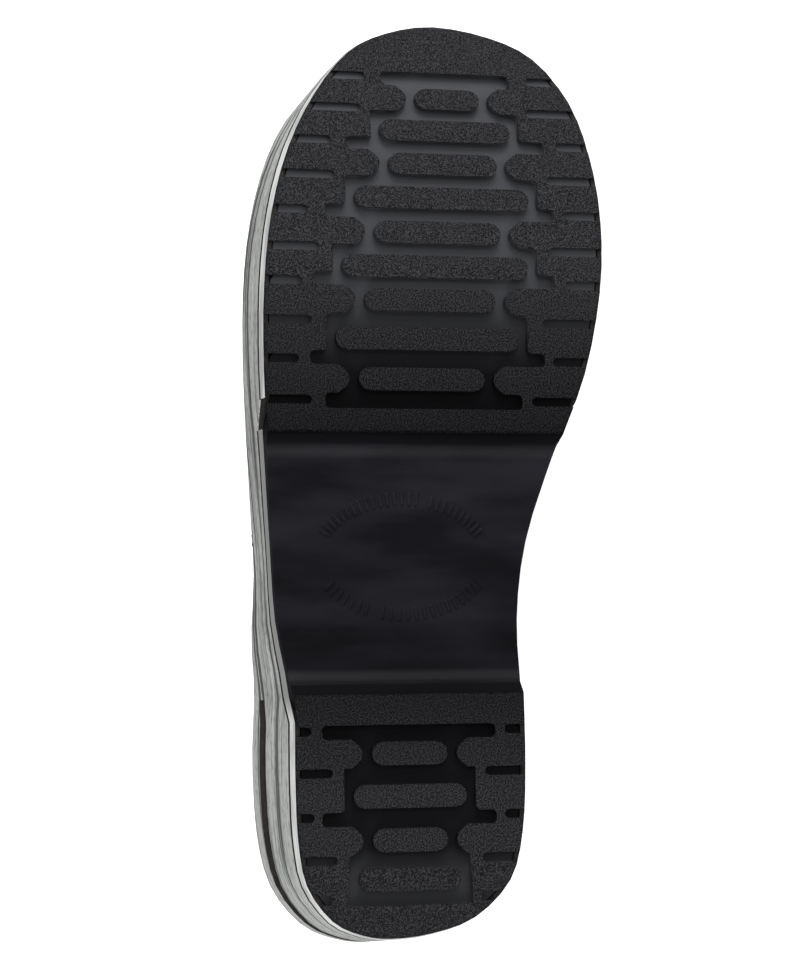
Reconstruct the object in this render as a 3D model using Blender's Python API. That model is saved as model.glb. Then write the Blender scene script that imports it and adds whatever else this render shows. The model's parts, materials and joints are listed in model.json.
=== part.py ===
"""A right-foot closed-back clog, empty, lying on its medial side.

The shoe is modelled as it would stand: x runs from the heel to the toe, +y is the medial
side and z is up from the ground. At the end all of it is laid on its medial side, where
the sole's edge and the upper touch the floor.
"""

import math

import bmesh
import bpy
from mathutils import Matrix, Vector
from mathutils.geometry import normal as plane_normal

# Lasting sizes, in metres
LENGTH = 0.274  # outsole, heel to toe
BALL_WIDTH = 0.1033  # outsole across the ball
HEEL_HEIGHT = 0.043  # ground to the seat under the heel
PLATFORM = 0.024  # ground to the seat under the ball
TOE_SPRING = 0.0175  # rise of the outsole's toe
HEEL_SPRING = 0.0025  # rise of the outsole's rear edge
INSTEP = 0.076  # crest of the upper above the seat, at the throat
HEEL_FLARE = 0.0055  # how far the midsole's top stands out past the outsole at the heel
MEDIAL_FLARE = 0.0  # share of the flare that is left on the steeper medial side

# Walls and clearances
GAP = 0.0003
OUTSOLE = 0.008
MIDSOLE_EDGE = 0.0024
LEDGE = 0.003  # midsole showing round the foot of the upper
WALL = 0.0029  # leather, padding and lining together
SEAM_STEP = 0.0011  # the vamp laps over the quarters
INSOLE = 0.0045
INSOLE_CLEARANCE = 0.0006
INSOLE_LIP = 0.001  # its edge stands up round a shallow bed
INSOLE_SLOPE = 0.008  # width of the slope inside the lip
COLLAR_WIDTH = 0.0098
COLLAR_HEIGHT = 0.0115
COLLAR_GAP = 0.0006  # over the cut edge of the upper
COLLAR_PROUD = 0.0012  # how far the roll stands out past the leather

# Tread
LUG_DEPTH = 0.0024
WAIST_RECESS = 0.0055
WAIST_BEVEL = 0.0038  # length of the slope down to the waist
WAIST_VAULT = 0.0016  # how much deeper the waist is in its middle
BAR = 0.0068
KNOB = 0.0084
KNOB_NOSE = 0.0034  # radius of its rounded end
CHANNEL = 0.0027
EAR = 0.0040
SLOT = 0.0026
CHANNEL_END = 0.0017  # the channel runs on past the front slots
EDGE = 0.0007

# Side of the midsole
CUP = 0.0013  # thickness of the lip that wraps the edge of the outsole
CUP_BASE = 0.0011  # its lower edge, over the tops of the lugs
RIM = 0.0034
RIM_PROUD = 0.0005
RIM_BEVEL = 0.0004  # the rim's lower edge is drawn in
FEATHER_GROOVE = 0.0016
FEATHER_GROOVE_DEPTH = 0.0007
HEEL_GROOVE = 0.0042
HEEL_GROOVE_DEPTH = 0.0010
HEEL_GROOVE_DROP = 0.0105  # below the seat

SIDEWAYS = 0.8  # least sideways share of the direction that lies down
ROLLED = 0.05  # least share of it away from the ground: sole edge and upper both touch

# Shares of the length where things begin and end
BALL_LINE = 0.672  # the toe spring starts here
HEEL_LINE = 0.091  # the heel spring starts here
WAIST_FRONT = 0.5376  # the forefoot tread ends here
WAIST_REAR = 0.2544  # the heel tread begins here
CUP_START = 0.004  # from the tread's edges the lip begins this far on
CUP_FADE = 0.022  # and is full this much further
HEEL_GROOVE_FRONT = 0.268
HEEL_GROOVE_FADE = 0.03
SEAM = 0.405
THROAT = 0.492

# Outline: share of the length, then lateral and medial edge in shares of the ball width
OUTLINE = (
    (0.000, -0.053, -0.053),
    (0.0044, -0.136, 0.062),
    (0.020, -0.222, 0.186),
    (0.058, -0.296, 0.287),
    (0.109, -0.320, 0.325),
    (0.175, -0.325, 0.337),
    (0.255, -0.327, 0.337),
    (0.336, -0.364, 0.333),
    (0.420, -0.377, 0.365),
    (0.511, -0.389, 0.446),
    (0.602, -0.399, 0.542),
    (0.693, -0.395, 0.594),
    (0.774, -0.368, 0.606),
    (0.847, -0.312, 0.587),
    (0.912, -0.224, 0.540),
    (0.964, -0.114, 0.445),
    (0.989, 0.004, 0.318),
    (1.000, 0.150, 0.150),
)

# Seat: share of the length, height between platform (0) and heel (1), flare in heel flares
SEAT = (
    (0.00, 1.00, 0.62),
    (0.06, 1.00, 0.74),
    (0.12, 1.00, 0.95),
    (0.22, 0.98, 1.02),
    (0.30, 0.88, 0.58),
    (0.38, 0.68, 0.06),
    (0.47, 0.40, 0.17),
    (0.56, 0.16, 0.30),
    (0.66, 0.02, 0.41),
    (0.76, -0.04, 0.50),
    (0.88, -0.10, 0.48),
    (0.93, -0.125, 0.15),
    (1.00, -0.16, 0.18),
)

# Upper: share of the length, crest in shares of the instep, how square the section is up
# its side and over its top, bulge of the side in metres, and how far the ridge lies to
# the medial side in shares of the ball width
SECTIONS = (
    (0.00, 1.22, 2.0, 2.0, 0.0012, 0.000),
    (0.11, 1.20, 2.0, 2.0, 0.0012, 0.000),
    (0.18, 1.18, 2.0, 2.0, 0.0012, 0.000),
    (0.26, 1.16, 2.05, 2.0, 0.0010, 0.000),
    (0.34, 1.13, 2.1, 2.0, 0.0008, 0.005),
    (0.42, 1.07, 2.15, 2.0, 0.0010, 0.010),
    (0.50, 0.99, 2.15, 2.0, 0.0014, 0.020),
    (0.60, 0.840, 2.15, 2.0, 0.0018, 0.030),
    (0.70, 0.690, 2.15, 2.05, 0.0022, 0.040),
    (0.78, 0.590, 2.25, 2.15, 0.0022, 0.045),
    (0.86, 0.520, 2.4, 2.3, 0.0020, 0.040),
    (0.93, 0.470, 2.5, 2.4, 0.0014, 0.020),
    (1.00, 0.365, 2.4, 2.3, 0.0006, 0.000),
)

# Top line: share of the length, height above the seat in shares of the instep
TOP_LINE = (
    (0.000, 0.820),
    (0.060, 0.810),
    (0.120, 0.770),
    (0.190, 0.700),
    (0.270, 0.655),
    (0.350, 0.665),
    (0.415, 0.725),
    (0.460, 0.810),
    (0.482, 0.900),
    (0.492, 1.000),
)

# How far the two ends and the seam lean as they rise
TOE_LEAN = 0.016
HEEL_LEAN = 0.0075
HEEL_BULGE = 0.0024
SEAM_SLANT = 0.014
SEAM_REACH = 0.22  # how far the slant reaches from the seam, share of the length
HEEL_CURVE_FRONT = 0.24
TOE_CURVE_REAR = 0.80
BULGE_TOP = 0.046
BULGE_RIDGE = 0.35  # nearer the ridge than this share of the width the bulge fades to none
LATERAL_LEAN = 0.115  # share of the lateral half that the wall leans in by at the lean's height
LEAN_HEIGHT = 0.055
LEAN_FADE = (0.45, 0.80)  # from the full lean to none, shares of the length

# Tread rows from the toe: share of the length, ends of the bar, ends of the side slots
# behind it, and ends of the ears behind a long bar, in shares of the ball width
FOREFOOT = (
    (0.909, 0.071, 0.264, 0.8960, -0.093, 0.400, None, None),
    (0.871, -0.042, 0.349, 0.8570, -0.188, 0.481, -0.147, 0.447),
    (0.832, -0.022, 0.301, 0.8170, -0.182, 0.448, None, None),
    (0.793, -0.128, 0.390, 0.7770, -0.266, 0.493, -0.217, 0.463),
    (0.754, -0.074, 0.300, 0.7360, -0.235, 0.445, None, None),
    (0.716, -0.172, 0.379, 0.6985, -0.290, 0.489, -0.254, 0.456),
    (0.679, -0.108, 0.278, 0.6560, -0.262, 0.417, None, None),
    (0.637, -0.194, 0.344, 0.6140, -0.300, 0.444, -0.268, 0.421),
    (0.593, -0.129, 0.240, 0.5700, -0.265, 0.379, None, None),
)
FOREFOOT_FRONT = (0.9345, -0.027, 0.359, -0.073, 0.410)
FOREFOOT_REAR = (0.5610, -0.226, 0.351)
HEEL = (
    (0.194, -0.109, 0.109, 0.1740, -0.221, 0.217, None, None),
    (0.149, -0.163, 0.163, 0.1280, -0.274, 0.272, -0.253, 0.249),
    (0.103, -0.110, 0.106, 0.0830, -0.211, 0.205, None, None),
    (0.062, -0.149, 0.142, 0.0420, -0.225, 0.200, None, None),
)
HEEL_FRONT = (0.2180, -0.250, 0.250, -0.280, 0.276)
HEEL_REAR = (0.0350, -0.185, 0.178)

# Extra sections by the throat, in shares of a section's distance, and at the seam's edge
THROAT_STEPS = (-0.75, -0.35, -0.1, 0.0, 0.3)
SEAM_STEPS = (-0.06, 0.06)
CROWD = 0.45  # a plain section nearer than this is left out

POINTS_PER_ROW = 3
SECTION_STEPS = 8
ARC_STEPS = 3
COLLAR_SIDES = 8
TOE_SLICES = 8
HEEL_SLICES = 3
WAIST_STEPS = 8

for leftover in list(bpy.data.objects):
    bpy.data.objects.remove(leftover)


def cubic(before, start, end, after, t):
    """A smooth curve through start and end, steered by their neighbours."""
    slope_in = (end - before) / 2
    slope_out = (after - start) / 2
    return (
        start
        + slope_in * t
        + (3 * (end - start) - 2 * slope_in - slope_out) * t**2
        + (2 * (start - end) + slope_in + slope_out) * t**3
    )


def smooth(table, column, share):
    """Value of a table's column at a share of the length, without overshoot between rows."""
    last = len(table) - 2
    k = next((i for i in range(last) if share < table[i + 1][0]), last)
    rows = [table[min(max(i, 0), last + 1)] for i in (k - 1, k, k + 1, k + 2)]
    span = rows[2][0] - rows[1][0]
    t = min(max((share - rows[1][0]) / span, 0.0), 1.0)
    slopes = []
    for middle in (1, 2):
        low, high = rows[middle - 1], rows[min(middle + 1, 3)]
        reach = high[0] - low[0]
        slopes.append((high[column] - low[column]) / reach * span if reach else 0.0)
    start, end = rows[1][column], rows[2][column]
    change = 3 * (end - start) - 2 * slopes[0] - slopes[1]
    turn = 2 * (start - end) + slopes[0] + slopes[1]
    return start + slopes[0] * t + change * t**2 + turn * t**3


def outline_point(turn):
    """Point of the outsole's outline: turn runs from the heel (0) by the medial side."""
    rows = len(OUTLINE) - 1
    loop = [(x, medial) for x, _, medial in OUTLINE]
    loop += [(x, lateral) for x, lateral, _ in OUTLINE[-2:0:-1]]
    turn %= 2 * rows
    k = int(turn)
    corners = [loop[(k + step) % len(loop)] for step in (-1, 0, 1, 2)]
    x, y = (cubic(*[c[axis] for c in corners], turn - k) for axis in (0, 1))
    return Vector((x * LENGTH, y * BALL_WIDTH, 0))


def outward(turn):
    """Direction out of the outline, level with the ground."""
    step = 0.02
    along = outline_point(turn + step) - outline_point(turn - step)
    return Vector((along.y, -along.x, 0)).normalized() * -1


def spring(x):
    """Rise of the tread at the toe and at the back of the heel."""
    toe = max(0.0, x / LENGTH - BALL_LINE) / (1 - BALL_LINE)
    heel = max(0.0, HEEL_LINE - x / LENGTH) / HEEL_LINE
    return TOE_SPRING * toe**2 + HEEL_SPRING * heel**2


def seat(x):
    """Height of the midsole's top."""
    share = min(max(x / LENGTH, 0.0), 1.0)
    rise = smooth(SEAT, 1, share) * (HEEL_HEIGHT - PLATFORM)
    toe = max(0.0, share - BALL_LINE) / (1 - BALL_LINE)
    return PLATFORM + rise + TOE_SPRING * toe**2


def flare(turn):
    """How far the midsole's top stands out past the outsole, here on the outline."""
    share = min(max(outline_point(turn).x / LENGTH, 0.0), 1.0)
    medial = max(outward(turn).y, 0.0) ** 2
    return smooth(SEAT, 2, share) * HEEL_FLARE * (1 - (1 - MEDIAL_FLARE) * medial)


def all_turns(per_row=POINTS_PER_ROW):
    return [k / per_row for k in range(2 * (len(OUTLINE) - 1) * per_row)]


def ring(turns, offset, height):
    """Points round the outline, moved out by an offset that may follow the turn.

    height is a number or a function of x.
    """
    points = []
    for turn in turns:
        out = offset(turn) if callable(offset) else offset
        point = outline_point(turn) + outward(turn) * out
        point.z = height(point.x) if callable(height) else height
        points.append(point)
    return points


def add_object(name, mesh_builder, material):
    """Turns a bmesh into an object of the scene, with its faces pointing out."""
    mesh = bpy.data.meshes.new(name)
    bmesh.ops.recalc_face_normals(mesh_builder, faces=mesh_builder.faces[:])
    mesh_builder.to_mesh(mesh)
    mesh_builder.free()
    obj = bpy.data.objects.new(name, mesh)
    bpy.context.collection.objects.link(obj)
    if material:
        mesh.materials.append(material)
    return obj


def finish(name, colour, roughness):
    material = bpy.data.materials.new(name)
    material.use_nodes = True
    shader = material.node_tree.nodes["Principled BSDF"]
    shader.inputs["Base Color"].default_value = (*colour, 1)
    shader.inputs["Roughness"].default_value = roughness
    shader.inputs["Metallic"].default_value = 0.0
    return material


def loft(rings, strips=True):
    """Closed body through rings of equal length. Its two ends are strips across the sole."""
    build = bmesh.new()
    rows = [[build.verts.new(point) for point in points] for points in rings]
    count = len(rows[0])
    for low, high in zip(rows, rows[1:]):
        for k in range(count):
            after = (k + 1) % count
            build.faces.new((low[k], low[after], high[after], high[k]))
    for row in (rows[0], rows[-1]):
        if not strips:
            build.faces.new(row)
            continue
        for k in range(count // 2):
            across = (row[k], row[k + 1], row[(count - k - 1) % count], row[(count - k) % count])
            build.faces.new(list(dict.fromkeys(across)))
    return build


def prism(build, corners, low, high):
    """Upright solid over a plan of (x, y) corners."""
    base = build.faces.new([build.verts.new((x, y, low)) for x, y in corners])
    if base.normal.z == 0:
        base.normal_update()
    if base.normal.z > 0:
        base.normal_flip()
    grown = bmesh.ops.extrude_face_region(build, geom=[base], use_keep_orig=True)
    raised = [part for part in grown["geom"] if isinstance(part, bmesh.types.BMVert)]
    bmesh.ops.translate(build, verts=raised, vec=(0, 0, high - low))


def round_end(x, y, radius, side):
    """Half circle in plan about (x, y), bulging to the side (+1 medial, -1 lateral)."""
    angles = [math.pi / 2 - math.pi * k / (2 * ARC_STEPS) for k in range(2 * ARC_STEPS + 1)]
    return [(x + radius * math.sin(a), y + side * radius * math.cos(a)) for a in angles]


def bar_plan(row):
    x, lateral, medial = row[0] * LENGTH, row[1] * BALL_WIDTH, row[2] * BALL_WIDTH
    half = BAR / 2
    return round_end(x, medial - half, half, 1) + round_end(x, lateral + half, half, -1)[::-1]


def channel_side(rows, front, rear, side):
    """One edge of a tread channel, toe to heel: knobs face the short bars, long bars have ears."""
    end = 1 if side < 0 else 2
    top = front[end] * BALL_WIDTH
    points = [(front[0] * LENGTH + CHANNEL_END, top), (rows[0][0] * LENGTH + KNOB / 2, top)]
    for k, row in enumerate(rows):
        x, tip = row[0] * LENGTH, row[end] * BALL_WIDTH
        if k % 2 == 0:
            knob = tip + side * (CHANNEL + KNOB_NOSE)
            arc = round_end(x, knob, KNOB_NOSE, -side)
            points += [(x + KNOB / 2, knob)] + arc[1:-1] + [(x - KNOB / 2, knob)]
            continue
        wall = tip + side * CHANNEL
        points.append((rows[k - 1][0] * LENGTH - KNOB / 2, wall))
        if row[5 + end] is None:
            continue
        ear_rear = rows[k + 1][0] * LENGTH + KNOB / 2
        ear = row[5 + end] * BALL_WIDTH
        points += [(ear_rear + EAR, wall), (ear_rear + EAR, ear), (ear_rear, ear)]
    bottom = rear[end] * BALL_WIDTH
    if len(rows) % 2:
        points.append((rows[-1][0] * LENGTH - KNOB / 2, bottom))
    points.append((rear[0] * LENGTH, bottom))
    return points


def slot_plan(x, inner, side):
    """Slot from past the sole's edge to a rounded inner end."""
    outer = side * BALL_WIDTH
    radius = SLOT / 2
    return round_end(x, inner + side * radius, radius, -side) + [(x - radius, outer), (x + radius, outer)]


def tread_cutter():
    build = bmesh.new()
    floor = (-LUG_DEPTH, LUG_DEPTH)
    for rows, front, rear in ((FOREFOOT, FOREFOOT_FRONT, FOREFOOT_REAR), (HEEL, HEEL_FRONT, HEEL_REAR)):
        edges = [channel_side(rows, front, rear, side) for side in (-1, 1)]
        prism(build, edges[0] + edges[1][::-1], *floor)
        slots = [(front[0], front[3], front[4])] + [row[3:6] for row in rows]
        for share, lateral, medial in slots:
            for inner, side in ((lateral, -1), (medial, 1)):
                prism(build, slot_plan(share * LENGTH, inner * BALL_WIDTH, side), *floor)
    waist = waist_profile()
    low = [build.verts.new((x, -BALL_WIDTH, z)) for x, z in waist]
    side_face = build.faces.new(low)
    grown = bmesh.ops.extrude_face_region(build, geom=[side_face], use_keep_orig=True)
    moved = [part for part in grown["geom"] if isinstance(part, bmesh.types.BMVert)]
    bmesh.ops.translate(build, verts=moved, vec=(0, 2 * BALL_WIDTH, 0))
    cutter = add_object("tread_cutter", build, None)
    cutter.hide_render = True
    cutter.display_type = "WIRE"
    return cutter


def waist_profile():
    """Side view of the hollow under the arch: bevelled ends and a low vault between them."""
    front, rear = WAIST_FRONT * LENGTH, WAIST_REAR * LENGTH
    start, end = front - WAIST_BEVEL, rear + WAIST_BEVEL
    points = [(front, -LUG_DEPTH), (front, 0)]
    for k in range(WAIST_STEPS + 1):
        share = k / WAIST_STEPS
        vault = WAIST_VAULT * (1 - math.sin(math.pi * share))
        points.append((start + (end - start) * share, WAIST_RECESS - vault))
    return points + [(rear, 0), (rear, -LUG_DEPTH)]


def bars():
    build = bmesh.new()
    for row in FOREFOOT + HEEL:
        prism(build, bar_plan(row), 0.0, LUG_DEPTH + EDGE)
    helper = add_object("tread_bars", build, None)
    helper.hide_render = True
    helper.display_type = "WIRE"
    return helper


def make_outsole(material):
    """Flat slab, cut and built up as a flat tread, then bent to the toe and heel springs."""
    turns = all_turns()

    def tucked(turn):
        return -(CUP + GAP) * cup(outline_point(turn).x)

    rings = [
        ring(turns, -EDGE, 0.0),
        ring(turns, 0.0, EDGE),
        ring(turns, tucked, CUP_BASE - GAP),
        ring(turns, tucked, OUTSOLE),
    ]
    slab = add_object("outsole", loft(rings, strips=False), material)
    for name, operation, helper in (("cut", "DIFFERENCE", tread_cutter()), ("add", "UNION", bars())):
        boolean = slab.modifiers.new(name, "BOOLEAN")
        boolean.operation = operation
        boolean.object = helper
    graph = bpy.context.evaluated_depsgraph_get()
    shaped = bpy.data.meshes.new_from_object(slab.evaluated_get(graph))
    slab.modifiers.clear()
    build = bmesh.new()
    build.from_mesh(shaped)
    bmesh.ops.remove_doubles(build, verts=build.verts[:], dist=1e-6)
    toe = LENGTH * (1 - BALL_LINE)
    cuts = [LENGTH - toe * (k + 1) / TOE_SLICES for k in range(TOE_SLICES)]
    cuts += [HEEL_LINE * LENGTH * (k + 1) / HEEL_SLICES for k in range(HEEL_SLICES)]
    for x in cuts:
        bmesh.ops.bisect_plane(
            build,
            geom=build.verts[:] + build.edges[:] + build.faces[:],
            dist=1e-6,
            plane_co=(x, 0, 0),
            plane_no=(1, 0, 0),
        )
    for vert in build.verts:
        vert.co.z += spring(vert.co.x)
    bmesh.ops.triangulate(build, faces=build.faces[:])
    build.to_mesh(slab.data)
    build.free()
    return slab


def heel_groove(x):
    """How far the groove round the heel is cut in, fading out towards the waist."""
    share = (HEEL_GROOVE_FRONT - x / LENGTH) / HEEL_GROOVE_FADE
    return HEEL_GROOVE_DEPTH * min(max(share, 0.0), 1.0)


def cup(x):
    """How much of the midsole's lip there is: all beside the tread, none beside the waist."""
    share = x / LENGTH
    heel = fade(share, WAIST_REAR - CUP_START - CUP_FADE, WAIST_REAR - CUP_START)
    return heel + 1 - fade(share, WAIST_FRONT + CUP_START, WAIST_FRONT + CUP_START + CUP_FADE)


def under(x):
    """Height of the midsole's underside, just clear of the outsole."""
    return OUTSOLE + GAP + spring(x)


def foot(x):
    """Height of the lower edge of the midsole's side."""
    return under(x) - (OUTSOLE + GAP - CUP_BASE) * cup(x)


def make_midsole(material):
    turns = all_turns()
    lip = RIM + FEATHER_GROOVE
    wall = HEEL_HEIGHT - CUP_BASE - lip

    def level(above_lip):
        """Height of a line that runs at this share of the wall over the grooved lip."""
        return lambda x: foot(x) + lip + (seat(x) - foot(x) - lip) * above_lip

    def side(height, inset):
        def offset(turn):
            x = outline_point(turn).x
            climb = (height(x) - foot(x)) / (seat(x) - foot(x))
            cut = inset(x) if callable(inset) else inset
            return RIM_PROUD + flare(turn) * climb - cut

        return ring(turns, offset, height)

    def over(rise):
        return lambda x: foot(x) + rise

    def inside(turn):
        share = cup(outline_point(turn).x)
        return (RIM_PROUD - RIM_BEVEL) * (1 - share) - CUP * share

    groove_top = 1 - HEEL_GROOVE_DROP / wall
    groove_base = groove_top - HEEL_GROOVE / wall
    slope = HEEL_GROOVE_DEPTH / wall
    rings = [
        ring(turns, inside, under),
        ring(turns, inside, foot),
        side(foot, RIM_BEVEL),
        side(over(RIM), 0.0),
        side(over(RIM + FEATHER_GROOVE / 2), FEATHER_GROOVE_DEPTH),
        side(over(lip), 0.0),
        side(level(groove_base - slope), 0.0),
        side(level(groove_base), heel_groove),
        side(level(groove_top), heel_groove),
        side(level(groove_top + slope), 0.0),
        side(level(1 - MIDSOLE_EDGE / wall), 0.0),
        ring(turns, lambda turn: RIM_PROUD + flare(turn) - MIDSOLE_EDGE, seat),
    ]
    build = loft(rings)
    bmesh.ops.remove_doubles(build, verts=build.verts[:], dist=1e-6)
    return add_object("midsole", build, material)


def make_insole(material):
    turns = all_turns()
    inset = LEDGE + WALL + INSOLE_CLEARANCE

    def edge(extra):
        return lambda turn: RIM_PROUD + flare(turn) - inset - extra

    rings = [
        ring(turns, edge(0.0), lambda x: seat(x) + GAP),
        ring(turns, edge(0.0), lambda x: seat(x) + INSOLE),
        ring(turns, edge(INSOLE_LIP), lambda x: seat(x) + INSOLE + INSOLE_LIP),
        ring(turns, edge(INSOLE_SLOPE), lambda x: seat(x) + INSOLE - INSOLE_LIP),
    ]
    return add_object("insole", loft(rings), material)


def turn_at(x):
    """Where on the outline the medial edge reaches x."""
    low, high = 0.0, float(len(OUTLINE) - 1)
    for _ in range(40):
        middle = (low + high) / 2
        if outline_point(middle).x < x:
            low = middle
        else:
            high = middle
    return low


def stations():
    """Turns of the upper's sections, heel to toe, closer together at the throat and the seam."""
    rows = len(OUTLINE) - 1
    throat, seam = turn_at(THROAT * LENGTH), turn_at(SEAM * LENGTH)
    spread = 1 / POINTS_PER_ROW
    found = [k / POINTS_PER_ROW for k in range(rows * POINTS_PER_ROW + 1)]
    placed = [throat + spread * step for step in THROAT_STEPS]
    placed += [seam + spread * step for step in SEAM_STEPS]
    found = [t for t in found if all(abs(t - own) > spread * CROWD for own in placed)]
    return sorted(found + placed), seam


def fade(share, start, end):
    """1 at start, 0 at end, smooth in between."""
    t = min(max((share - start) / (end - start), 0.0), 1.0)
    return 1 - t * t * (3 - 2 * t)


def section_point(base, middle, share, rise, lap):
    """A point of the upper's section. base is its foot on one side and middle is under the ridge.

    rise runs from 0 at the seat to 1 at the top line or the ridge, and lap is what the
    vamp's edge adds over the quarter.
    """
    crest = smooth(SECTIONS, 1, share) * INSTEP + lap
    top = 1.0
    if share < THROAT:
        top = min(smooth(TOP_LINE, 1, share) * INSTEP / crest, 1.0)
    square_side, square_top = smooth(SECTIONS, 2, share), smooth(SECTIONS, 3, share)
    angle = rise * math.asin(top ** (square_top / 2))
    height = crest * math.sin(angle) ** (2 / square_top)
    spread = math.cos(angle) ** (2 / square_side) if angle < math.pi / 2 - 1e-9 else 0.0
    across = base - middle
    if across.y < 0:
        spread *= 1 - LATERAL_LEAN * min(height / LEAN_HEIGHT, 1.0) * fade(share, *LEAN_FADE)
    out = across.normalized() if across.length > 1e-6 else Vector((0, 0, 0))
    swell = smooth(SECTIONS, 4, share) * math.sin(math.pi * min(height / BULGE_TOP, 1.0)) ** 1.5
    swell *= min(spread / BULGE_RIDGE, 1.0)
    point = middle + across * spread + out * (swell + lap * spread)
    ratio = min(height / (TOP_LINE[0][1] * INSTEP), 1.0)
    heel = HEEL_LEAN * ratio**2 - HEEL_BULGE * math.sin(math.pi * ratio)
    toe = TOE_LEAN * (1 - math.cos(angle))
    point.x += heel * fade(share, 0.0, HEEL_CURVE_FRONT) - toe * fade(share, 1.0, TOE_CURVE_REAR)
    wave = max(0.0, 1 - abs(share - SEAM) / SEAM_REACH)
    point.x += SEAM_SLANT * (height / INSTEP) * wave**2 * (3 - 2 * wave)
    point.z = seat(middle.x + across.x * spread) + GAP + height
    return point


def upper_runs(lapped_all_over):
    """Outer face of the upper: for each station a medial and a lateral run, foot to top.

    The vamp stands a lap's thickness over the quarters, or the lap runs all over.
    """
    turns, seam = stations()
    grid = []
    for turn in turns:
        feet = []
        for own in (turn, -turn):
            foot = outline_point(own)
            foot += outward(own) * (RIM_PROUD + flare(own) - LEDGE)
            foot.z = 0
            feet.append(foot)
        share = outline_point(turn).x / LENGTH
        middle = (feet[0] + feet[1]) / 2
        width = (feet[0] - feet[1]).length
        middle.y += smooth(SECTIONS, 5, share) * width
        lap = SEAM_STEP if turn > seam or lapped_all_over else 0.0
        steps = [k / SECTION_STEPS for k in range(SECTION_STEPS + 1)]
        grid.append([[section_point(foot, middle, share, rise, lap) for rise in steps] for foot in feet])
    return grid


def upper_sheet(lapped_all_over=False):
    build = bmesh.new()
    stacks = upper_runs(lapped_all_over)
    rows = [[[build.verts.new(point) for point in run] for run in runs] for runs in stacks]
    for low, high in zip(rows, rows[1:]):
        for side in (0, 1):
            for k in range(SECTION_STEPS):
                corners = (low[side][k], high[side][k], high[side][k + 1], low[side][k + 1])
                build.faces.new(corners if side else corners[::-1])
    bmesh.ops.remove_doubles(build, verts=build.verts[:], dist=1e-5)
    build.normal_update()
    return build


def make_upper(material):
    build = upper_sheet()
    mesh = bpy.data.meshes.new("upper")
    build.to_mesh(mesh)
    build.free()
    upper = bpy.data.objects.new("upper", mesh)
    bpy.context.collection.objects.link(upper)
    mesh.materials.append(material)
    shell = upper.modifiers.new("wall", "SOLIDIFY")
    shell.thickness = WALL
    shell.offset = -1
    shell.use_even_offset = True
    shell.use_rim = True
    return upper


def opening_edge(build):
    """Vertices round the collar opening, in order, of the open sheet of the upper."""
    rim = [edge for edge in build.edges if edge.is_boundary]
    start = max((vert for edge in rim for vert in edge.verts), key=lambda vert: vert.co.z)
    loop, edge = [start], next(own for own in start.link_edges if own.is_boundary)
    while edge.other_vert(loop[-1]) is not start:
        loop.append(edge.other_vert(loop[-1]))
        edge = next(own for own in loop[-1].link_edges if own.is_boundary and own is not edge)
    return loop


def make_collar(material):
    """Padded roll round the opening, standing on the upper's top edge."""
    sheet = upper_sheet(lapped_all_over=True)
    loop = opening_edge(sheet)
    build = bmesh.new()
    rows = []
    for k, vert in enumerate(loop):
        along = (loop[(k + 1) % len(loop)].co - loop[k - 1].co).normalized()
        material_side = sum((face.calc_center_median() for face in vert.link_faces), Vector())
        material_side = material_side / len(vert.link_faces) - vert.co
        up = vert.normal.cross(along).normalized()
        if up.dot(material_side) > 0:
            up.negate()
        inward = up.cross(along).normalized()
        if inward.dot(vert.normal) > 0:
            inward.negate()
        centre = vert.co + inward * (COLLAR_WIDTH / 2 - COLLAR_PROUD) + up * (COLLAR_HEIGHT / 2 + COLLAR_GAP)
        row = []
        for step in range(COLLAR_SIDES):
            angle = 2 * math.pi * step / COLLAR_SIDES
            across = inward * math.cos(angle) * COLLAR_WIDTH / 2
            row.append(build.verts.new(centre + across + up * math.sin(angle) * COLLAR_HEIGHT / 2))
        rows.append(row)
    sheet.free()
    for k, row in enumerate(rows):
        after = rows[(k + 1) % len(rows)]
        for step in range(COLLAR_SIDES):
            beside = (step + 1) % COLLAR_SIDES
            build.faces.new((row[step], row[beside], after[beside], after[step]))
    return add_object("collar", build, material)


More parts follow.
